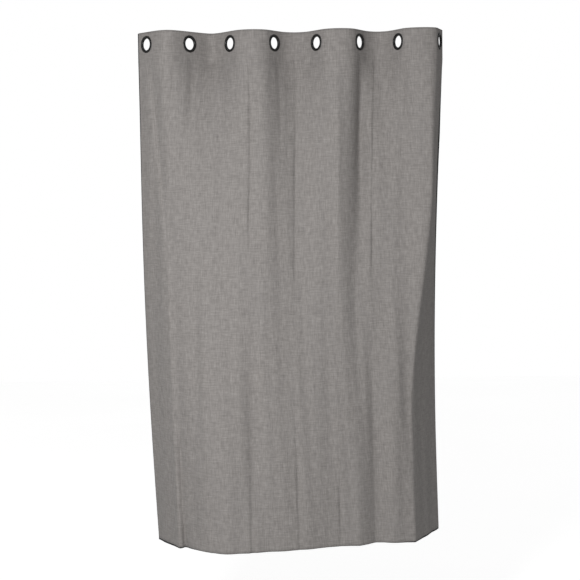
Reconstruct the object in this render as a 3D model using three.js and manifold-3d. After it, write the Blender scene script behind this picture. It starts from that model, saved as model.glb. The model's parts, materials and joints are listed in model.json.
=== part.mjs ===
// An eyelet curtain panel, 1400 mm of cloth across and 1800 mm tall, hung in waves on a level rod.
// Millimetres. The rod would run along X through the origin; +Y is the window side and +Z is up.
import * as THREE from 'three';
import { mergeVertices } from 'three/addons/utils/BufferGeometryUtils.js';
import Module from 'manifold-3d';

const wasm = await Module();
wasm.setup();

// Cloth: `u` runs across the flat cloth from its left edge, and z is the height.
const CLOTH_WIDTH = 1400;
const CLOTH_HEIGHT = 1800;
const TOP_Z = 33;
const HEADING_HEIGHT = 100;
const HEM_Z = TOP_Z - CLOTH_HEIGHT;
const HEADING_Z = TOP_Z - HEADING_HEIGHT;
const SIDE_MARGIN = 42;

// Eyelets: where each one hangs along the rod, and the angle of its disc to the rod in degrees.
// Odd ones lead the cloth from behind the rod to its front, even ones lead it back again.
const EYELET_X = [-506, -358, -218, -66, 80, 228, 362, 503];
const EYELET_ANGLE = [46, 45, 50, 52, 52, 57, 58, 70];
const EYELET_Z = -9.2;
const EYELET_PITCH = (CLOTH_WIDTH - 2 * SIDE_MARGIN) / (EYELET_X.length - 1);
const BORE_RADIUS = 20;
const FLANGE_RADIUS = 29;
const CLOTH_HOLE_RADIUS = 23;
const RING_SEGMENTS = 24;
const FLAT_HALF = 30;
const BULGE_CELLS = 4;
const FLAT_CELLS = 3;

// The folds in the hanging cloth, left edge to right edge, seen from above: where each one is under
// the heading and at the hem, and how softly it turns. All of it sways a little halfway down.
const FOLDS = [
  { top: [-533, 40], hem: [-505, 150], soft: 2 },
  { top: [-432, -48], hem: [-418, 4], soft: 2 },
  { top: [-422, -46], hem: [-400, 2], soft: 5 },
  { top: [-331, -62], hem: [-298, -88], soft: 4 },
  { top: [-273, -56], hem: [-235, -102], soft: 8 },
  { top: [-140, -64], hem: [-161, -92], soft: 6 },
  { top: [-73, -62], hem: [-93, -72], soft: 8 },
  { top: [15, -14], hem: [1, -54], soft: 2 },
  { top: [166, -54], hem: [149, 0], soft: 2 },
  { top: [230, 14], hem: [213, -2], soft: 6 },
  { top: [285, -14], hem: [272, 44], soft: 2 },
  { top: [408, 4], hem: [344, 38], soft: 8 },
  { top: [490, -14], hem: [415, 55], soft: 2 },
  { top: [505, 66], hem: [519, 274], soft: 2 },
];
const SWAY = 15;

// The right-hand fold and edge keep their places at first, then swing over between these shares of the drop.
const LATE_FOLDS = 2;
const SWING = [0.23, 0.75];

// The heading's waves fade into those folds, to 1/e of their depth over this share of the drop.
const WAVE_FADE = 0.12;
const ROW_SHARES = [0, 0.05, 0.12, 0.21, 0.3, 0.38, 0.46, 0.55, 0.64, 0.74, 0.87, 1];

// Layers, front to back, as offsets from the middle of the cloth towards the room side.
const FACE_LAYER = [1.35, 0.45];
const STIFFENER_LAYER = [0.15, -0.35];
const LINING_LAYER = [-0.65, -1.35];
const LABEL_LAYER = [-2.75, -3.15];
const LAYER_GAP = 0.3;
const EDGE_INSET = 2;

// Care label: a blank tag sewn into the left side seam, on the window side.
const LABEL_U = [3, 38];
const LABEL_Z = [-1610, -1555];

const MATERIALS = {
  face: new THREE.MeshStandardMaterial({ color: 0x8c8884, roughness: 0.95, metalness: 0 }),
  lining: new THREE.MeshStandardMaterial({ color: 0x1b1b1c, roughness: 0.9, metalness: 0 }),
  stiffener: new THREE.MeshStandardMaterial({ color: 0xd8d6d0, roughness: 0.9, metalness: 0 }),
  eyelet: new THREE.MeshStandardMaterial({ color: 0x0b0b0c, roughness: 0.35, metalness: 0.1 }),
  label: new THREE.MeshStandardMaterial({ color: 0xe8e6e0, roughness: 0.8, metalness: 0 }),
};

const count = EYELET_X.length;
const eyeletU = EYELET_X.map((x, i) => SIDE_MARGIN + i * EYELET_PITCH);

// The cloth's direction in plan at eyelet i: away from the window at odd eyelets, back at even ones.
function clothDirection(i) {
  const turn = THREE.MathUtils.degToRad(EYELET_ANGLE[i]) * (i % 2 ? 1 : -1);
  return new THREE.Vector3(Math.cos(turn), Math.sin(turn), 0);
}

// A point of the flat stretch of cloth that eyelet i clamps, `along` from its centre.
function flatPoint(i, along) {
  return new THREE.Vector3(EYELET_X[i], 0, 0).addScaledVector(clothDirection(i), along);
}

// The wave between eyelets i and i + 1, with handles as long as its length of cloth asks for.
function wave(i) {
  const from = flatPoint(i, FLAT_HALF);
  const to = flatPoint(i + 1, -FLAT_HALF);
  const make = (handle) => new THREE.CubicBezierCurve3(
    from,
    from.clone().addScaledVector(clothDirection(i), handle),
    to.clone().addScaledVector(clothDirection(i + 1), -handle),
    to,
  );
  let low = 0;
  let high = EYELET_PITCH;
  for (let step = 0; step < 40; step++) {
    const middle = (low + high) / 2;
    if (make(middle).getLength() < EYELET_PITCH - 2 * FLAT_HALF) low = middle;
    else high = middle;
  }
  return make(low);
}

// The heading's whole run in plan, measured by length of cloth.
function headingCurve() {
  const path = new THREE.CurvePath();
  for (let i = 0; i < count; i++) {
    const before = i === 0 ? SIDE_MARGIN : FLAT_HALF;
    const after = i === count - 1 ? SIDE_MARGIN : FLAT_HALF;
    path.add(new THREE.LineCurve3(flatPoint(i, -before), flatPoint(i, after)));
    if (i < count - 1) path.add(wave(i));
  }
  return path;
}

const heading = headingCurve();
const folds = FOLDS.map(({ top, hem, soft }) => ({
  top: new THREE.Vector3(...top, 0),
  hem: new THREE.Vector3(...hem, 0),
  soft,
}));

// How far across the flat cloth each fold is, from the lengths of the runs between them.
function clothPlaces(points) {
  const along = [0];
  for (let k = 1; k < points.length; k++) along.push(along[k - 1] + points[k].distanceTo(points[k - 1]));
  return along.map((length) => length * CLOTH_WIDTH / along.at(-1));
}

const topPlaces = clothPlaces(folds.map(({ top }) => top));
const hemPlaces = clothPlaces(folds.map(({ hem }) => hem));

// How far fold k has moved from its place under the heading to its place at the hem.
function moved(k, share) {
  return k < folds.length - LATE_FOLDS ? share : THREE.MathUtils.smoothstep(share, ...SWING);
}

// 0 before a fold and the distance past it after, with a rounded turn.
function ramp(distance, soft) {
  return Math.max(distance, 0) + soft * Math.log1p(Math.exp(-Math.abs(distance) / soft));
}

// The folded cloth's plan, `share` of the way down from the heading to the hem.
function foldedPoint(u, share) {
  const corners = folds.map(({ top, hem }, k) => top.clone().lerp(hem, moved(k, share)));
  const places = folds.map((_, k) => THREE.MathUtils.lerp(topPlaces[k], hemPlaces[k], share));
  const past = (k) => (k === 0 ? u : ramp(u - places[k], folds[k].soft));
  const last = folds.length - 1;
  const point = corners[0].clone();
  for (let k = 0; k < last; k++) {
    const run = corners[k + 1].clone().sub(corners[k]).divideScalar(places[k + 1] - places[k]);
    point.addScaledVector(run, past(k) - (k + 1 < last ? past(k + 1) : 0));
  }
  point.x -= SWAY * Math.sin(Math.PI * share);
  return point;
}

function clothPoint(u, z) {
  const share = Math.max(0, (HEADING_Z - z) / (HEADING_Z - HEM_Z));
  const waviness = Math.exp(-share / WAVE_FADE);
  const t = THREE.MathUtils.clamp(u / CLOTH_WIDTH, 0, 1);
  return foldedPoint(u, share).lerp(heading.getPointAt(t), waviness).setZ(z);
}

// The direction that the cloth's room side faces, in plan.
function clothNormal(u, z) {
  const step = 1;
  const along = clothPoint(u + step, z).sub(clothPoint(u - step, z)).normalize();
  return new THREE.Vector3(along.y, -along.x, 0);
}

function offsetPoint(u, z, offset) {
  return clothPoint(u, z).addScaledVector(clothNormal(u, z), offset);
}

// A closed slab of cloth over a grid of widths and heights, between two offsets.
function slab(widths, heights, [front, back]) {
  const columns = widths.length;
  const rows = heights.length;
  const positions = [];
  for (const offset of [front, back]) {
    for (const z of heights) {
      for (const u of widths) positions.push(...offsetPoint(u, z, offset).toArray());
    }
  }
  const at = (side, row, column) => (side * rows + row) * columns + column;
  const index = [];
  const quad = (a, b, c, d) => index.push(a, b, c, a, c, d);
  for (let r = 0; r + 1 < rows; r++) {
    for (let c = 0; c + 1 < columns; c++) {
      quad(at(0, r, c), at(0, r + 1, c), at(0, r + 1, c + 1), at(0, r, c + 1));
      index.push(at(1, r, c), at(1, r + 1, c + 1), at(1, r + 1, c));
      index.push(at(1, r, c), at(1, r, c + 1), at(1, r + 1, c + 1));
    }
  }
  const last = { row: rows - 1, column: columns - 1 };
  for (let c = 0; c < last.column; c++) {
    quad(at(0, 0, c), at(0, 0, c + 1), at(1, 0, c + 1), at(1, 0, c));
    quad(at(0, last.row, c), at(1, last.row, c), at(1, last.row, c + 1), at(0, last.row, c + 1));
  }
  for (let r = 0; r < last.row; r++) {
    quad(at(0, r, 0), at(1, r, 0), at(1, r + 1, 0), at(0, r + 1, 0));
    quad(at(0, r, last.column), at(0, r + 1, last.column), at(1, r + 1, last.column), at(1, r, last.column));
  }
  const geometry = new THREE.BufferGeometry();
  geometry.setAttribute('position', new THREE.Float32BufferAttribute(positions, 3));
  geometry.setIndex(index);
  return geometry;
}

function solid(geometry) {
  const bare = geometry.clone();
  bare.deleteAttribute('normal');
  bare.deleteAttribute('uv');
  const merged = mergeVertices(bare, 1e-3);
  return new wasm.Manifold(new wasm.Mesh({
    numProp: 3,
    vertProperties: new Float32Array(merged.attributes.position.array),
    triVerts: new Uint32Array(merged.index.array),
  }));
}

function geometryOf(manifold) {
  const mesh = manifold.getMesh();
  const geometry = new THREE.BufferGeometry();
  geometry.setAttribute('position', new THREE.BufferAttribute(mesh.vertProperties, 3));
  geometry.setIndex(new THREE.BufferAttribute(mesh.triVerts, 1));
  return geometry;
}

// Puts a shape whose own axis is +Y through the cloth at eyelet i, +Y towards the room side.
function placeAtEyelet(geometry, i) {
  const facing = clothDirection(i);
  const roomSide = new THREE.Vector3(facing.y, -facing.x, 0);
  const up = new THREE.Vector3(0, 0, 1);
  const basis = new THREE.Matrix4().makeBasis(up, roomSide, up.clone().cross(roomSide));
  return geometry.applyMatrix4(basis.setPosition(EYELET_X[i], 0, EYELET_Z));
}

function punched(geometry, i) {
  const punch = new THREE.CylinderGeometry(CLOTH_HOLE_RADIUS, CLOTH_HOLE_RADIUS, 20, RING_SEGMENTS);
  return geometryOf(solid(geometry).subtract(solid(placeAtEyelet(punch, i))));
}

// Widths of the grid on strip i, which runs from the crest of one wave to the crest of the next.
function stripWidths(i, inset) {
  const centre = eyeletU[i];
  const low = i === 0 ? inset : centre - EYELET_PITCH / 2 + LAYER_GAP / 2;
  const high = i === count - 1 ? CLOTH_WIDTH - inset : centre + EYELET_PITCH / 2 - LAYER_GAP / 2;
  const widths = [];
  const spread = (from, to, cells) => {
    for (let k = 0; k < cells; k++) widths.push(from + (to - from) * k / cells);
  };
  spread(low, centre - FLAT_HALF, i === 0 ? 1 : BULGE_CELLS);
  spread(centre - FLAT_HALF, centre + FLAT_HALF, FLAT_CELLS);
  spread(centre + FLAT_HALF, high, i === count - 1 ? 1 : BULGE_CELLS);
  widths.push(high);
  return widths;
}

const fullHeights = [TOP_Z, ...ROW_SHARES.map((share) => HEADING_Z + (HEM_Z - HEADING_Z) * share)];
const headingHeights = [TOP_Z - EDGE_INSET, HEADING_Z + EDGE_INSET];

// Ring profiles as [radius, distance to the room side], closed on themselves.
const FRONT_RING = [
  [20.5, -2.8], [21.4, -2.8], [21.4, 1.65], [FLANGE_RADIUS, 1.65], [FLANGE_RADIUS, 2.5],
  [26.2, 4.1], [23, 4.2], [20.6, 2.6], [BORE_RADIUS, 0],
];
const BACK_RING = [
  [21.7, -1.65], [21.9, -3.4], [23, -4.2], [26.2, -4.1], [FLANGE_RADIUS, -2.5], [FLANGE_RADIUS, -1.65],
];

function ring(profile, i) {
  const points = [...profile, profile[0]].map(([r, y]) => new THREE.Vector2(r, y));
  return placeAtEyelet(new THREE.LatheGeometry(points, RING_SEGMENTS), i);
}

const curtain = new THREE.Group();

function add(name, geometry, material) {
  const mesh = new THREE.Mesh(geometry, material);
  mesh.name = name;
  curtain.add(mesh);
}

for (let i = 0; i < count; i++) {
  const number = i + 1;
  const edge = stripWidths(i, 0);
  const inner = stripWidths(i, EDGE_INSET);
  add(`face_fabric_${number}`, punched(slab(edge, fullHeights, FACE_LAYER), i), MATERIALS.face);
  add(`lining_${number}`, punched(slab(edge, fullHeights, LINING_LAYER), i), MATERIALS.lining);
  const tape = punched(slab(inner, headingHeights, STIFFENER_LAYER), i);
  add(`heading_stiffener_${number}`, tape, MATERIALS.stiffener);
  add(`eyelet_front_${number}`, ring(FRONT_RING, i), MATERIALS.eyelet);
  add(`eyelet_back_${number}`, ring(BACK_RING, i), MATERIALS.eyelet);
}
add('care_label', slab(LABEL_U, LABEL_Z.toReversed(), LABEL_LAYER), MATERIALS.label);

export default curtain;
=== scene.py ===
"""A lined eyelet curtain panel, hung in waves. Metres, +X along the rod, +Y to the window, +Z up."""
import json
import math

import bpy
import numpy as np
from mathutils import Matrix, Vector


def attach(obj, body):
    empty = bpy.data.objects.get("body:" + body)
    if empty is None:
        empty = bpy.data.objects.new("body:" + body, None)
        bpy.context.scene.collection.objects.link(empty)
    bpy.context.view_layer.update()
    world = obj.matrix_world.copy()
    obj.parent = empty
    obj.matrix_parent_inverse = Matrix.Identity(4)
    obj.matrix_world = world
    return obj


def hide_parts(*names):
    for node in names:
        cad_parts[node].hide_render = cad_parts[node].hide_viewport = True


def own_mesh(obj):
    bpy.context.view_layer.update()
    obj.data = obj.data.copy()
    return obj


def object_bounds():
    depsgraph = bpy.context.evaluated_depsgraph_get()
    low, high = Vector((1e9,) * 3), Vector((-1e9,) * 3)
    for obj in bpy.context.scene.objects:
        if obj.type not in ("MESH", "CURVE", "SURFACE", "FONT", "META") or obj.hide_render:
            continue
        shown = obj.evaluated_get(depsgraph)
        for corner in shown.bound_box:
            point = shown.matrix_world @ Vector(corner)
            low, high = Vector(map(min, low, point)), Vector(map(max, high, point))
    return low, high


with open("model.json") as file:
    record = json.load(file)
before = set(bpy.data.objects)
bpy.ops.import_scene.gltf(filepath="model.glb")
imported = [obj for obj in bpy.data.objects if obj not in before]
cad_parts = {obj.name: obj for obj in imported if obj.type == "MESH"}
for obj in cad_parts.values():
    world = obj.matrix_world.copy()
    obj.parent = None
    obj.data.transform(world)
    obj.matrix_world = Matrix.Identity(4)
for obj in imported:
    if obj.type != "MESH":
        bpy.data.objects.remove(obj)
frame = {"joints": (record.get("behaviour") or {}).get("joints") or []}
cad_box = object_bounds()

MM = 0.001

# Cloth: u runs across the flat cloth from its left edge, z is the height.
CLOTH_WIDTH = 1.400
TOP_Z = cad_box[1].z
HEM_Z = cad_box[0].z
HEADING_Z = TOP_Z - 0.100
SIDE_MARGIN = 0.042
FLAT_HALF = 0.030

# Eyelets, as the CAD has them: places from the joints, and each disc's angle to the rod in degrees.
JOINTS = {j["name"]: j for j in frame["joints"]}
EYELETS = [Vector(JOINTS[f"eyelet_turn_{i}"]["pos_m"]) for i in range(1, 9)]
EYELET_ANGLE = [46, 45, 50, 52, 52, 57, 58, 70]
EYELET_PITCH = (CLOTH_WIDTH - 2 * SIDE_MARGIN) / (len(EYELETS) - 1)
EYELET_U = [SIDE_MARGIN + i * EYELET_PITCH for i in range(len(EYELETS))]
HOLE_RADIUS = 0.0287

# How far the lining's right edge flares out past the face cloth, as a share of its overhang: the dark strip it
# shows along the right edge is painted shade.
EDGE_SHADE_FLARE = 1.0

# The folds in the hanging cloth, left edge to right edge, seen from above as in the CAD: where each one
# is under the heading and at the hem, and how softly it turns. The heading's waves fade into them.
FOLDS = [
    ((-533, 40), (-505, 150), 2),
    ((-432, -48), (-418, 4), 2),
    ((-422, -46), (-400, 2), 5),
    ((-331, -62), (-298, -88), 4),
    ((-273, -56), (-235, -102), 8),
    ((-140, -64), (-161, -92), 6),
    ((-73, -62), (-93, -72), 8),
    ((15, -14), (1, -54), 2),
    ((166, -54), (149, 0), 2),
    ((230, 14), (213, -2), 6),
    ((285, -14), (272, 44), 2),
    ((408, 4), (344, 38), 8),
    ((490, -14), (415, 55), 2),
    ((505, 66), (519, 274), 2),
]
SWAY = 15
WAVE_FADE = 0.12

# The right-hand fold and edge keep their places at first, the fold softly rounded, then swing over and
# sharpen between these shares of the drop.
LATE_FOLDS = 2
SWING = (0.23, 0.75)
LATE_ROUNDING = 7 * MM

# Sharp creases pressed into some of the folds: fold, where it starts and ends down the cloth, over how much
# of the drop it deepens, its depth and the half width of its left wall.
CREASES = [
    (1, 0.0, 0.55, 0.05, 3.4, 4.0), (1, 0.62, 1.1, 0.06, 3.4, 4.2), (2, 0.60, 1.4, 0.36, 20, 6.5),
    (3, 0.64, 1.1, 0.12, 6.0, 4.4), (5, -0.1, 0.40, 0.10, 7.0, 4.6), (5, 0.78, 1.1, 0.08, 5.0, 4.4),
    (7, -0.1, 0.47, 0.05, 3.4, 4.0), (7, 0.70, 1.1, 0.12, 6.0, 4.4), (8, 0.84, 1.0, 0.06, 5.6, 4.4),
    (10, -0.1, 0.46, 0.05, 6.2, 4.4), (11, -0.05, 0.15, 0.05, 10.0, 5.0),
]

# How many times wider the right wall of a crease or valley is than its left wall.
GENTLE = 2.6

# Soft valleys that slant across the cloth: where they start and end, as (across, share of the drop), their
# depth and half width. The last four hang from the eyelets that lead the cloth back.
VALLEYS = [
    ((60, 0.0), (168, 0.40), 12, 12), ((234, -0.06), (246, 0.14), 6, 10), ((616, -0.06), (632, 0.22), 6, 9),
    ((984, -0.06), (975, 0.20), 7, 9), ((1352, 0.0), (1340, 0.10), 5, 9),
]

# Soft dents: place across the cloth, place down it, half width, half height and depth.
DENTS = [
    (290, 0.52, 24, 0.13, 9), (508, 0.77, 26, 0.13, 20), (1010, 0.80, 24, 0.14, 12), (262, 0.93, 22, 0.07, 8),
    (1080, 0.12, 20, 0.07, 6), (820, 0.66, 34, 0.16, 5), (1160, 0.62, 30, 0.15, 6), (990, 0.22, 21, 0.12, 24),
]

# Hems: turned in at the sides and the bottom, sewn down, and a little thicker there.
SIDE_HEM = 0.025
BOTTOM_HEM = 0.150
HEM_SWELL = 0.5

FACE_LAYER = (1.35 * MM, 0.45 * MM)
STIFFENER_LAYER = (0.15 * MM, -0.35 * MM)
LINING_LAYER = (-0.65 * MM, -1.35 * MM)


# ---------------------------------------------------------------- plan curves

def cloth_direction(i):
    """The cloth's direction in plan at eyelet i: to the room at odd eyelets, to the window at even ones."""
    turn = math.radians(EYELET_ANGLE[i]) * (1 if i % 2 else -1)
    return np.array([math.cos(turn), math.sin(turn)])


def flat_point(i, along):
    return np.array([EYELETS[i].x, 0.0]) + along * cloth_direction(i)


def bezier(a, b, c, d, steps=60):
    t = np.linspace(0, 1, steps)[:, None]
    return (1 - t) ** 3 * a + 3 * (1 - t) ** 2 * t * b + 3 * (1 - t) * t ** 2 * c + t ** 3 * d


def length_of(points):
    return np.linalg.norm(np.diff(points, axis=0), axis=1).sum()


def wave(i):
    """The run between two eyelets, with handles as long as its length of cloth asks for."""
    start, end = flat_point(i, FLAT_HALF), flat_point(i + 1, -FLAT_HALF)
    low, high = 0.0, EYELET_PITCH
    for _ in range(40):
        handle = (low + high) / 2
        run = bezier(start, start + handle * cloth_direction(i), end - handle * cloth_direction(i + 1), end)
        if length_of(run) < EYELET_PITCH - 2 * FLAT_HALF:
            low = handle
        else:
            high = handle
    return run


def heading_run():
    points = [flat_point(0, -SIDE_MARGIN)]
    for i in range(len(EYELETS) - 1):
        points.extend(wave(i))
    points.append(flat_point(len(EYELETS) - 1, SIDE_MARGIN))
    return np.array(points)


def lengthened(points, extra=20 * MM):
    """The curve with a straight bit added to each end, and how far along the flat cloth each point is."""
    start, end = points[0] - points[1], points[-1] - points[-2]
    along = np.concatenate([[0], np.cumsum(np.linalg.norm(np.diff(points, axis=0), axis=1))])
    along = along / along[-1] * CLOTH_WIDTH
    points = np.vstack([points[0] + start / np.linalg.norm(start) * extra, points,
                        points[-1] + end / np.linalg.norm(end) * extra])
    return points, np.concatenate([[-extra], along, [CLOTH_WIDTH + extra]])


def by_cloth(curve, u):
    """The curve's points at distances u across the flat cloth."""
    points, along = curve
    return np.stack([np.interp(u, along, points[:, k]) for k in range(2)], axis=-1)


HEADING = lengthened(heading_run())
UNDER_HEADING = np.array([top for top, _, _ in FOLDS]) * MM
AT_HEM = np.array([low for _, low, _ in FOLDS]) * MM
SOFTNESS = np.array([soft for _, _, soft in FOLDS]) * MM


def cloth_places(points):
    """How far along the flat cloth each fold of a folded line is."""
    along = np.concatenate([[0], np.cumsum(np.linalg.norm(np.diff(points, axis=0), axis=1))])
    return along / along[-1] * CLOTH_WIDTH


U_UNDER_HEADING = cloth_places(UNDER_HEADING)
U_AT_HEM = cloth_places(AT_HEM)


# ---------------------------------------------------------------- the cloth's surface

def fall(z):
    """0 in the stiff heading, 1 at the hem."""
    return np.clip((HEADING_Z - z) / (HEADING_Z - HEM_Z), 0, 1)


def fold_place(k, share):
    """Where fold k crosses the flat cloth at this share of the drop."""
    return U_UNDER_HEADING[k] * (1 - share) + U_AT_HEM[k] * share


def moved(k, share):
    """How far fold k has moved from its place under the heading to its place at the hem."""
    if k < len(FOLDS) - LATE_FOLDS:
        return share
    t = np.clip((share - SWING[0]) / (SWING[1] - SWING[0]), 0, 1)
    return t * t * (3 - 2 * t)


def softness(k, share):
    rounding = LATE_ROUNDING * (1 - moved(k, share)) if k >= len(FOLDS) - LATE_FOLDS else 0
    return SOFTNESS[k] + rounding


def ramp(distance, softness):
    """0 before the fold and the distance past it after, with a rounded turn."""
    return softness * np.logaddexp(0, distance / softness)


def folded(u, share):
    """The folded cloth's plan at places u, with the folds at their places for this share of the drop."""
    corners = [top[:, None, None] * (1 - moved(k, share)) + low[:, None, None] * moved(k, share)
               for k, (top, low) in enumerate(zip(UNDER_HEADING, AT_HEM))]
    last = len(FOLDS) - 2
    plan = corners[0] + np.zeros((2, *u.shape))
    for k in range(last + 1):
        start, end = fold_place(k, share), fold_place(k + 1, share)
        length = ramp(u - start, softness(k, share)) if k else u - start
        if k < last:
            length = length - ramp(u - end, softness(k + 1, share))
        plan = plan + (corners[k + 1] - corners[k]) / (end - start) * length
    plan[0] -= SWAY * MM * np.sin(math.pi * np.clip(share, 0, 1))
    return np.moveaxis(plan, 0, -1)


def pressed(distance, width):
    """1 at the bottom of a crease or valley: it has a steep left wall and a gentle right one."""
    return np.exp(-0.5 * (distance / np.where(distance < 0, width, GENTLE * width)) ** 2)


def creases(u, share):
    """How far the creases pull the cloth back from the room side."""
    back = np.zeros_like(u)
    for k, start, end, growth, depth, width in CREASES:
        wander = 1.6 * MM * np.sin(13 * share + 2.1 * k) + 0.8 * MM * np.sin(37 * share + 1.3 * k)
        across = pressed(u - fold_place(k, share) - wander, width * MM)
        across *= 0.8 + 0.2 * np.sin(29 * share + 4.7 * k)
        ends = np.clip((share - start) / growth, 0, 1) * np.clip((end - share) / growth, 0, 1)
        back += depth * MM * across * ends
    return back


def valleys(u, share):
    """How far the slanting valleys pull the cloth back from the room side."""
    back = np.zeros_like(u)
    for (u_start, start), (u_end, end), depth, width in VALLEYS:
        along = (share - start) / (end - start)
        place = (u_start + (u_end - u_start) * along) * MM
        faded = np.clip(along / 0.15, 0, 1) * np.clip((1.15 - along) / 0.5, 0, 1)
        back += depth * MM * faded * pressed(u - place, width * MM)
    return back


def dents(u, share):
    """How far the soft dents pull the cloth back from the room side."""
    back = np.zeros_like(u)
    for place, down, width, height, depth in DENTS:
        across = (u - place * MM) / (width * MM)
        along = (share - down) / height
        back += depth * MM * np.exp(-0.5 * (across ** 2 + along ** 2))
    return back


def wrinkles(u, z):
    """Shallow uneven waves, long down the cloth and short across it."""
    rng = np.random.default_rng(11)
    out = np.zeros_like(u)
    for across, amplitude in ((0.110, 1.9), (0.073, 1.0), (0.047, 0.4), (0.029, 0.14)):
        for _ in range(3):
            lean, phase, swell = rng.uniform(-0.9, 0.9), rng.uniform(0, 6.3), rng.uniform(0, 6.3)
            size = amplitude * (0.6 + 0.4 * np.sin(3.1 * z + 5 * u + swell))
            place = u + 0.03 * np.sin(2.3 * z + phase) + 0.04 * lean * z
            out += size * np.sin(2 * math.pi * place / across + phase)
    return out * 0.7 * MM


def hung(u, z):
    """The cloth's middle surface: the heading's waves fade into folds that run straight to the hem."""
    share = fall(z)
    waviness = np.exp(-share / WAVE_FADE)[..., None]
    plan = by_cloth(HEADING, u) * waviness + folded(u, share) * (1 - waviness)
    points = np.concatenate([plan, z[..., None]], axis=-1)
    # Painted shade: the dark lining flares out past the face cloth's right edge, where that edge is in shade.
    flare = EDGE_SHADE_FLARE * np.clip(share / 0.15, 0, 1) * np.clip(1.1 - 1.4 * share, 0, 1)
    points[..., 0] += np.maximum(u - CLOTH_WIDTH, 0) * flare
    below_eyelets = np.clip((HEADING_Z + 25 * MM - z) / (40 * MM), 0, 1)
    points[..., 1] += (creases(u, share) + valleys(u, share)) * below_eyelets
    points[..., 1] += (dents(u, share) - wrinkles(u, z)) * np.clip(share / 0.05, 0, 1)
    return points


def grid_lines(marks):
    """Positions along one direction, from (position, cells up to it) pairs."""
    lines = [marks[0][0]]
    for (a, _), (b, cells) in zip(marks, marks[1:]):
        lines.extend(a + (b - a) * k / cells for k in range(1, cells + 1))
    return np.array(lines)


HOLE_INNER, HOLE_OUTER = 0.024, 0.033     # square rings of the grid that become the round hole
EYELET_Z = EYELETS[0].z


def column_lines():
    marks = [(0.0, 0)]
    for i, u in enumerate(EYELET_U):
        marks.append((u - HOLE_OUTER, 4 if i == 0 else 60))
        marks += [(u - HOLE_INNER, 3), (u + HOLE_INNER, 12), (u + HOLE_OUTER, 3)]
    marks.append((CLOTH_WIDTH, 2))
    return grid_lines(marks)


def row_lines():
    return grid_lines([
        (TOP_Z, 0), (EYELET_Z + HOLE_OUTER, 1), (EYELET_Z + HOLE_INNER, 3), (EYELET_Z - HOLE_INNER, 12),
        (EYELET_Z - HOLE_OUTER, 3), (HEADING_Z, 3), (HEM_Z, 142),
    ])


def round_holes(u, z):
    """Bends the grid lines round each eyelet into circles: the new u and z, and where the holes are."""
    hole = np.zeros(u.shape, bool)
    for centre in EYELET_U:
        du, dz = u - centre, z - EYELET_Z
        square = np.maximum(np.abs(du), np.abs(dz))
        length = np.maximum(np.hypot(du, dz), 1e-9)
        inside = square < HOLE_OUTER - 1e-6
        t = np.clip((square - HOLE_INNER) / (HOLE_OUTER - HOLE_INNER), 0, 1)
        scale = (1 - t) * HOLE_RADIUS / length + t * HOLE_OUTER / np.maximum(square, 1e-9)
        u = np.where(inside, centre + du * scale, u)
        z = np.where(inside, EYELET_Z + dz * scale, z)
        hole |= square < HOLE_INNER - 1e-6
    return u, z, hole


def surface_points(u, z):
    """Points and room-side normals of the middle surface for arrays of u and z."""
    step = 1.5 * MM
    here = hung(u, z)
    across = hung(u + step, z) - hung(u - step, z)
    down = hung(u, z - step) - hung(u, z + step)
    normal = np.cross(down, across)
    return here, normal / np.linalg.norm(normal, axis=-1, keepdims=True)


def hem_swell(u, z):
    """How much thicker the cloth is where its hems are turned in, below the heading."""
    from_side = np.minimum(u, CLOTH_WIDTH - u)
    turned = np.maximum(SIDE_HEM - from_side, HEM_Z + BOTTOM_HEM - z)
    below_heading = np.clip((HEADING_Z - z) / (5 * MM), 0, 1)
    return HEM_SWELL * MM * np.clip(turned / (2.5 * MM) + 1, 0, 1) * below_heading


# ---------------------------------------------------------------- mesh helpers

def new_object(name, vertices, faces, material, flat=None):
    mesh = bpy.data.meshes.new(name)
    mesh.from_pydata([tuple(v) for v in vertices], [], [tuple(int(k) for k in f) for f in faces])
    if flat is not None:
        attribute = mesh.attributes.new("flat", "FLOAT_VECTOR", "POINT")
        attribute.data.foreach_set("vector", np.asarray(flat, np.float32).ravel())
    mesh.validate()
    mesh.materials.append(material)
    mesh.polygons.foreach_set("use_smooth", [True] * len(mesh.polygons))
    obj = bpy.data.objects.new(name, mesh)
    bpy.context.collection.objects.link(obj)
    return obj


def sheet_mesh(u, z, hole, layer):
    """Vertices, faces and flat coordinates of a closed thin sheet over a grid with holes.

    layer holds the offsets of its two sides, each one number or one for every point of the grid."""
    points, normals = surface_points(u, z)
    rows, columns = u.shape
    size = rows * columns
    offsets = [np.broadcast_to(offset, u.shape)[..., None] for offset in layer]
    sides = [(points + normals * offset).reshape(-1, 3) for offset in offsets]
    index = np.arange(size).reshape(rows, columns)
    keep = ~(hole[:-1, :-1] | hole[1:, :-1] | hole[:-1, 1:] | hole[1:, 1:])
    a, b, c, d = (index[s][keep] for s in (
        np.s_[:-1, :-1], np.s_[1:, :-1], np.s_[1:, 1:], np.s_[:-1, 1:]))
    front = np.stack([a, b, c, d], axis=1)
    edges = {}
    for face in front:
        for k in range(4):
            pair = int(face[k]), int(face[(k + 1) % 4])
            if (pair[1], pair[0]) in edges:
                del edges[pair[1], pair[0]]
            else:
                edges[pair] = True
    walls = [(y, x, x + size, y + size) for x, y in edges]
    faces = np.vstack([front, front[:, ::-1] + size, np.array(walls)])
    flat = np.stack([u.ravel(), z.ravel(), np.zeros(size)], axis=1)
    used, where = np.unique(faces, return_inverse=True)
    vertices = np.vstack(sides)[used]
    return vertices, where.reshape(faces.shape), np.vstack([flat, flat])[used]


# ---------------------------------------------------------------- materials

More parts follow.
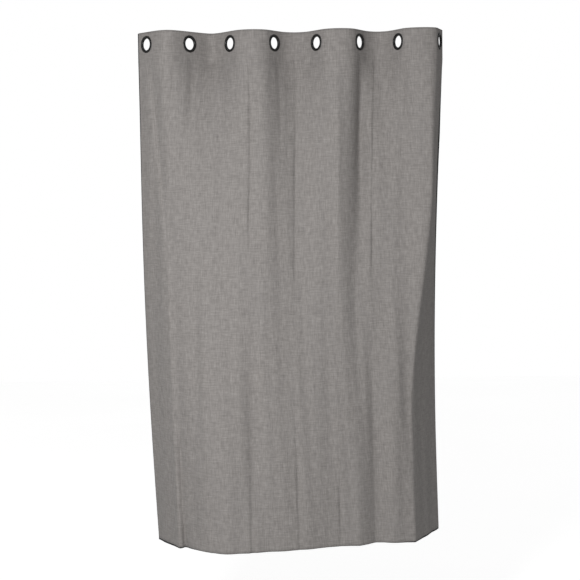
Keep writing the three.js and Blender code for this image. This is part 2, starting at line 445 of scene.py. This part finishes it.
class Nodes:
    """A short way to write a node material."""

    def __init__(self, name):
        self.material = bpy.data.materials.new(name)
        self.material.use_nodes = True
        self.tree = self.material.node_tree
        self.shader = self.tree.nodes["Principled BSDF"]

    def add(self, kind, settings=(), **inputs):
        node = self.tree.nodes.new(kind)
        for key, value in dict(settings).items():
            setattr(node, key, value)
        for key, value in inputs.items():
            self.set(node, key.replace("_", " "), value)
        return node

    def set(self, node, socket, value):
        if isinstance(value, bpy.types.NodeSocket):
            self.tree.links.new(value, node.inputs[socket])
        else:
            node.inputs[socket].default_value = value

    def math(self, operation, a, b=0.0):
        node = self.tree.nodes.new("ShaderNodeMath")
        node.operation = operation
        for k, value in enumerate((a, b)):
            self.set(node, k, value)
        return node.outputs[0]

    def scaled(self, vector, scale):
        node = self.tree.nodes.new("ShaderNodeMapping")
        self.set(node, "Vector", vector)
        node.inputs["Scale"].default_value = scale
        return node.outputs[0]

    def noise(self, vector, scale, detail=2.0, roughness=0.5):
        node = self.add("ShaderNodeTexNoise", {}, Vector=self.scaled(vector, scale), Scale=1.0, Detail=detail,
                        Roughness=roughness)
        return node.outputs["Fac"]

    def ramp(self, factor, stops):
        node = self.add("ShaderNodeValToRGB", {}, Fac=factor)
        ramp = node.color_ramp
        while len(ramp.elements) < len(stops):
            ramp.elements.new(0.5)
        for element, (position, colour) in zip(ramp.elements, stops):
            element.position = position
            element.color = (*colour, 1)
        return node.outputs["Color"]

    def mix(self, factor, a, b, blend="MIX"):
        node = self.tree.nodes.new("ShaderNodeMix")
        node.data_type, node.blend_type = "RGBA", blend
        self.set(node, 0, factor)
        self.set(node, 6, a)
        self.set(node, 7, b)
        return node.outputs[2]

    def bump(self, height, distance, strength=1.0):
        node = self.add("ShaderNodeBump", {}, Height=height, Distance=distance, Strength=strength)
        self.tree.links.new(node.outputs[0], self.shader.inputs["Normal"])

    def axis(self, vector, k):
        return self.add("ShaderNodeSeparateXYZ", {}, Vector=vector).outputs[k]

    def flat(self):
        return self.add("ShaderNodeAttribute", {"attribute_name": "flat"}).outputs["Vector"]


def grey(value, warm=0.0):
    return value * (1 + warm), value, value * (1 - 0.7 * warm)


def face_material():
    n = Nodes("face_cloth")
    flat = n.flat()
    warp = n.noise(flat, (1500, 22, 1), 3.0, 0.6)          # upright yarns, thick and thin
    weft = n.noise(flat, (26, 1400, 1), 3.0, 0.6)          # level yarns
    slub_up = n.noise(flat, (240, 22, 1), 2.0)             # longer flecks that read from afar
    slub_across = n.noise(flat, (26, 220, 1), 2.0)
    mottle = n.noise(flat, (85, 40, 1), 4.0, 0.65)
    yarn = n.math("ADD", n.math("MULTIPLY", warp, 0.5), n.math("MULTIPLY", weft, 0.5))
    slub = n.math("ADD", n.math("MULTIPLY", slub_up, 0.5), n.math("MULTIPLY", slub_across, 0.5))
    shade = n.math("ADD", n.math("MULTIPLY", yarn, 0.46), n.math("MULTIPLY", slub, 0.34))
    shade = n.math("ADD", shade, n.math("MULTIPLY", mottle, 0.20))
    colour = n.ramp(shade, [
        (0.32, grey(0.112, 0.080)), (0.46, grey(0.228, 0.075)),
        (0.555, grey(0.310, 0.070)), (0.68, grey(0.465, 0.060)),
    ])
    cool = n.noise(flat, (7, 4, 1), 3.0)
    colour = n.mix(n.math("MULTIPLY", cool, 0.30), colour, (0.268, 0.258, 0.256, 1))
    n.set(n.shader, "Base Color", colour)
    weave_up = n.math("SINE", n.math("MULTIPLY", n.axis(flat, 0), 2 * math.pi / (0.9 * MM)))
    weave_across = n.math("SINE", n.math("MULTIPLY", n.axis(flat, 1), 2 * math.pi / (0.9 * MM)))
    weave = n.math("MULTIPLY", weave_up, weave_across)
    height = n.math("ADD", n.math("MULTIPLY", weave, 0.25), n.math("MULTIPLY", yarn, 1.0))
    height = n.math("ADD", height, slub)
    n.bump(height, 0.35 * MM, 0.7)
    n.shader.inputs["Roughness"].default_value = 0.92
    n.shader.inputs["Specular IOR Level"].default_value = 0.25
    n.shader.inputs["Sheen Weight"].default_value = 0.12
    n.shader.inputs["Sheen Roughness"].default_value = 0.5
    return n.material


def lining_material():
    n = Nodes("lining_cloth")
    flat = n.flat()
    twill = n.math("ADD", n.axis(flat, 0), n.axis(flat, 1))
    ribs = n.math("SINE", n.math("MULTIPLY", twill, 2 * math.pi / (1.1 * MM)))
    cloud = n.noise(flat, (9, 6, 1), 4.0, 0.6)
    n.set(n.shader, "Base Color", n.ramp(cloud, [(0.35, grey(0.022)), (0.65, grey(0.036))]))
    n.set(n.shader, "Roughness", n.math("ADD", n.math("MULTIPLY", cloud, 0.15), 0.62))
    n.bump(n.math("ADD", ribs, n.math("MULTIPLY", cloud, 2.0)), 0.15 * MM, 0.6)
    n.shader.inputs["Specular IOR Level"].default_value = 0.3
    n.shader.inputs["Sheen Weight"].default_value = 0.05
    return n.material


def plain_cloth_material(name, dark, light):
    n = Nodes(name)
    flat = n.flat()
    threads = n.math("ADD", n.noise(flat, (1800, 60, 1)), n.noise(flat, (60, 1800, 1)))
    n.set(n.shader, "Base Color", n.ramp(n.math("MULTIPLY", threads, 0.5), [(0.35, dark), (0.65, light)]))
    n.bump(threads, 0.2 * MM, 0.6)
    n.shader.inputs["Roughness"].default_value = 0.85
    return n.material


def eyelet_material():
    n = Nodes("eyelet")
    where = n.add("ShaderNodeTexCoord").outputs["Object"]
    grain = n.noise(where, (1600, 1600, 1600), 3.0, 0.6)
    scuff = n.noise(where, (90, 90, 90), 5.0, 0.7)
    n.set(n.shader, "Base Color", n.ramp(scuff, [(0.40, grey(0.006)), (0.62, grey(0.011))]))
    n.set(n.shader, "Roughness", n.math("ADD", n.math("MULTIPLY", scuff, 0.22), 0.24))
    n.bump(grain, 0.05 * MM, 0.25)
    n.shader.inputs["Specular IOR Level"].default_value = 0.45
    return n.material


def thread_material():
    n = Nodes("thread")
    where = n.add("ShaderNodeTexCoord").outputs["Object"]
    twist = n.noise(where, (2500, 2500, 900), 2.0)
    n.set(n.shader, "Base Color", n.ramp(twist, [(0.35, grey(0.17, 0.03)), (0.65, grey(0.27, 0.03))]))
    n.shader.inputs["Roughness"].default_value = 0.8
    n.bump(twist, 0.1 * MM, 0.5)
    return n.material


# ---------------------------------------------------------------- pieces

def gather(piece):
    """A cloth piece rides on the first pleat."""
    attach(piece, "pleat_1")
    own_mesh(piece)
    return piece


def nodes_named(stem):
    return [f"{stem}_{i}" for i in range(1, len(EYELETS) + 1)]


def stretch_edges(u, z, over):
    """Moves the cloth's side edges out and its bottom edge down by the overhang."""
    margin = EYELET_U[0] - HOLE_OUTER
    out = np.maximum(margin - u, 0) - np.maximum(u - (CLOTH_WIDTH - margin), 0)
    u = u - out / margin * over
    # Near the side returns the bottom edge drops by the full overhang, in the middle by a quarter of it: on
    # the dark lining this is a line of painted shade under the hem.
    hem_shade_share = np.clip(np.abs(u / CLOTH_WIDTH - 0.48) * 6 - 1.4, 0.25, 1)
    low = np.clip((HEM_Z + 30 * MM - z) / (30 * MM), 0, 1)
    return u, z - low * hem_shade_share * over


def make_sheet(name, stem, layer, material, rows, over=0.0):
    """One cloth layer over the given rows, reaching past the face cloth's edges by over."""
    u, z = np.meshgrid(column_lines(), rows)
    u, z, hole = round_holes(u, z)
    u, z = stretch_edges(u, z, over)
    if stem == "face_fabric":
        layer = (layer[0] + hem_swell(u, z), layer[1])
    vertices, faces, flat = sheet_mesh(u, z, hole, layer)
    piece = new_object(name, vertices, faces, material, flat)
    gather(piece)
    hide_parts(*nodes_named(stem))
    return piece


def heading_rows():
    rows = row_lines()
    return np.concatenate([[TOP_Z - 1 * MM], rows[(rows < TOP_Z - 1 * MM) & (rows > HEADING_Z + 5 * MM)],
                           [HEADING_Z + 2 * MM]])


def lining_rows():
    return np.concatenate([[TOP_Z - 1 * MM], row_lines()[1:]])


LABEL_U = (0.003, 0.038)
LABEL_Z = (-1.555, -1.610)
LABEL_LAYER = (-2.75 * MM, -3.15 * MM)


def make_label(material):
    """A blank tag in the left side seam, its free end curling away from the lining."""
    u, z = np.meshgrid(np.linspace(*LABEL_U, 15), np.linspace(*LABEL_Z, 23))
    along = (u - LABEL_U[0]) / (LABEL_U[1] - LABEL_U[0])
    down = (LABEL_Z[0] - z) / (LABEL_Z[0] - LABEL_Z[1])
    curl = along ** 2 * (2.2 + 1.4 * down) * MM + 0.25 * MM * np.sin(9 * down) * along
    hole = np.zeros(u.shape, bool)
    vertices, faces, flat = sheet_mesh(u, z, hole, [offset - curl for offset in LABEL_LAYER])
    label = new_object("label_tag", vertices, faces, material, flat)
    gather(label)
    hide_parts("care_label")


STITCH_PITCH = 4.2 * MM
STITCH_LENGTH = 3.2 * MM
STITCH_RADIUS = 0.28 * MM


def stitch_line(start, end):
    """Both ends of each stitch, as (u, z), on a straight line over the flat cloth."""
    start, end = np.array(start), np.array(end)
    length = np.linalg.norm(end - start)
    along = (end - start) / length
    middles = np.arange(STITCH_PITCH, length - STITCH_PITCH / 2, STITCH_PITCH)
    half = along * STITCH_LENGTH / 2
    return [(start + along * m - half, start + along * m + half) for m in middles]


def stitch_lines():
    """The seams that show on the room side: side hems, bottom hem, and both edges of the heading tape."""
    inside = 2 * MM
    bottom = HEM_Z + BOTTOM_HEM - inside
    stitches = []
    for u in (SIDE_HEM - inside, CLOTH_WIDTH - SIDE_HEM + inside):
        stitches += stitch_line((u, HEADING_Z - 4 * MM), (u, HEM_Z + 4 * MM))
    for z in (TOP_Z - 3 * MM, HEADING_Z + 4 * MM, bottom):
        stitches += stitch_line((3 * MM, z), (CLOTH_WIDTH - 3 * MM, z))
    return np.array(stitches)


def make_stitches(material):
    """All stitches as one mesh of small arched threads that dip into the cloth at their ends."""
    ends = stitch_lines()
    shares = np.array([0, 0.2, 0.5, 0.8, 1])
    heights = np.array([-0.35, 0.10, 0.22, 0.10, -0.35]) * MM
    radii = np.array([0.55, 1, 1, 1, 0.55]) * STITCH_RADIUS
    around = np.arange(6) * math.pi / 3
    places = ends[:, :1] * (1 - shares[:, None]) + ends[:, 1:] * shares[:, None]
    points, normals = surface_points(places[..., 0], places[..., 1])
    along = points[:, -1] - points[:, 0]
    along = (along / np.linalg.norm(along, axis=-1, keepdims=True))[:, None]
    across = np.cross(normals, along)
    lift = FACE_LAYER[0] + hem_swell(places[..., 0], places[..., 1]) + heights
    centres = (points + normals * lift[..., None])[:, :, None]
    rings = centres + radii[:, None, None] * (
        np.cos(around)[:, None] * across[:, :, None] + np.sin(around)[:, None] * normals[:, :, None])
    count, steps, corners = rings.shape[:3]
    one = []
    for s in range(steps - 1):
        for k in range(corners):
            t = (k + 1) % corners
            one.append((s * corners + k, s * corners + t, (s + 1) * corners + t, (s + 1) * corners + k))
    caps = [tuple(range(corners))[::-1], tuple(range((steps - 1) * corners, steps * corners))]
    faces = [tuple(n * steps * corners + v for v in face) for n in range(count) for face in one + caps]
    stitches = new_object("stitches", rings.reshape(-1, 3), faces, material)
    gather(stitches)


def lathe(name, profile, material, segments=72):
    """A ring from a closed profile of (radius, distance to the room side)."""
    count = len(profile)
    vertices, faces = [], []
    for s in range(segments):
        a = 2 * math.pi * s / segments
        vertices += [(r * math.cos(a), -y, r * math.sin(a)) for r, y in profile]
    for s in range(segments):
        t = (s + 1) % segments
        faces += [(s * count + k, s * count + (k + 1) % count, t * count + (k + 1) % count, t * count + k)
                  for k in range(count)]
    return new_object(name, vertices, faces, material)


def rounded_profile(corners, radius, steps=4):
    """A closed polygon of (radius, height) points with every corner rounded."""
    out = []
    count = len(corners)
    for k, (corner, size) in enumerate(zip(corners, radius)):
        here = np.array(corner, float)
        before = np.array(corners[k - 1], float) - here
        after = np.array(corners[(k + 1) % count], float) - here
        reach = min(size, 0.45 * np.linalg.norm(before), 0.45 * np.linalg.norm(after))
        a = here + before / np.linalg.norm(before) * reach
        b = here + after / np.linalg.norm(after) * reach
        for t in np.linspace(0, 1, steps):
            out.append(tuple((1 - t) ** 2 * a + 2 * (1 - t) * t * here + t ** 2 * b))
    return out


FRONT_CORNERS = [
    (20.1, -2.8), (20.4, -2.8), (20.4, 1.65), (29, 1.65), (29, 2.6),
    (26.2, 4.3), (22.6, 4.4), (20.3, 2.7), (20.0, 0.0),
]
FRONT_ROUNDING = [0.2, 0.2, 0.3, 0.3, 0.8, 1.6, 1.6, 1.4, 1.4]
BACK_CORNERS = [(21.0, -1.65), (21.1, -3.3), (23.2, -4.3), (26.2, -4.2), (29, -2.6), (29, -1.65)]
BACK_ROUNDING = [0.2, 0.5, 0.9, 1.4, 0.8, 0.3]
RING_HALVES = (("front", FRONT_CORNERS, FRONT_ROUNDING), ("back", BACK_CORNERS, BACK_ROUNDING))


def place_ring(ring, i):
    facing = cloth_direction(i)
    turn = math.atan2(facing[1], facing[0])
    ring.data.transform(Matrix.Translation(EYELETS[i]) @ Matrix.Rotation(turn, 4, "Z"))


def make_eyelets(material):
    for i in range(len(EYELETS)):
        for side, corners, rounding in RING_HALVES:
            profile = rounded_profile([(r * MM, y * MM) for r, y in corners], [r * MM for r in rounding])
            ring = lathe(f"eyelet_ring_{side}_{i + 1}", profile, material)
            place_ring(ring, i)
            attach(ring, f"eyelet_{i + 1}")
            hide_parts(f"eyelet_{side}_{i + 1}")


# ---------------------------------------------------------------- scene

def make_camera():
    data = bpy.data.cameras.new("camera")
    data.lens = 87
    data.sensor_width = 36
    camera = bpy.data.objects.new("camera", data)
    bpy.context.collection.objects.link(camera)
    camera.location = (-0.018, -4.876, -0.582)
    camera.rotation_euler = (math.radians(90 - 3.3), math.radians(0.66), 0)
    bpy.context.scene.camera = camera


def area_light(name, place, target, size, watts):
    data = bpy.data.lights.new(name, "AREA")
    data.shape = "DISK"
    data.size = size
    data.energy = watts
    light = bpy.data.objects.new(name, data)
    bpy.context.collection.objects.link(light)
    light.location = place
    light.rotation_euler = (Vector(target) - Vector(place)).to_track_quat("-Z", "Y").to_euler()


def make_studio():
    world = bpy.data.worlds.new("studio")
    world.use_nodes = True
    bpy.context.scene.world = world
    tree = world.node_tree
    background = tree.nodes["Background"]
    background.inputs["Color"].default_value = (1, 1, 1, 1)
    path = tree.nodes.new("ShaderNodeLightPath")
    strength = tree.nodes.new("ShaderNodeMapRange")
    strength.inputs["To Min"].default_value = 0.33
    strength.inputs["To Max"].default_value = 1.0
    tree.links.new(path.outputs["Is Camera Ray"], strength.inputs["Value"])
    tree.links.new(strength.outputs["Result"], background.inputs["Strength"])
    area_light("key", (-0.8, -2.7, -0.42), (0, 0, -0.75), 0.5, 52)
    n = Nodes("studio_floor")
    tint = n.noise(n.add("ShaderNodeTexCoord").outputs["Object"], (0.6, 0.6, 0.6))
    n.set(n.shader, "Base Color", n.ramp(tint, [(0.3, grey(0.84)), (0.7, grey(0.88))]))
    n.shader.inputs["Emission Color"].default_value = (1, 1, 1, 1)
    seen = n.add("ShaderNodeLightPath").outputs["Is Camera Ray"]
    n.set(n.shader, "Emission Strength", n.math("MULTIPLY", seen, 0.7))
    corners = [(-9, -9, 0), (9, -9, 0), (9, 9, 0), (-9, 9, 0)]
    floor = new_object("floor", corners, [(0, 1, 2, 3)], n.material)
    floor.location.z = HEM_Z - 0.5
    bpy.context.scene.view_settings.view_transform = "Standard"
    bpy.context.scene.view_settings.look = "None"


make_camera()
make_studio()
make_eyelets(eyelet_material())
face = make_sheet("face_cloth", "face_fabric", FACE_LAYER, face_material(), row_lines())
tape_material = plain_cloth_material("heading_tape", grey(0.55, 0.03), grey(0.68, 0.03))
tape = make_sheet("heading_tape", "heading_stiffener", STIFFENER_LAYER, tape_material, heading_rows(), -2 * MM)
# The dark lining reaches 7 mm past the face cloth: the dark line it shows along the edges and hem is painted
# shade; the lining's dark colour itself is its own.
lining = make_sheet("lining_cloth", "lining", LINING_LAYER, lining_material(), lining_rows(), 7 * MM)
make_label(plain_cloth_material("label", grey(0.70, 0.01), grey(0.82, 0.01)))
make_stitches(thread_material())
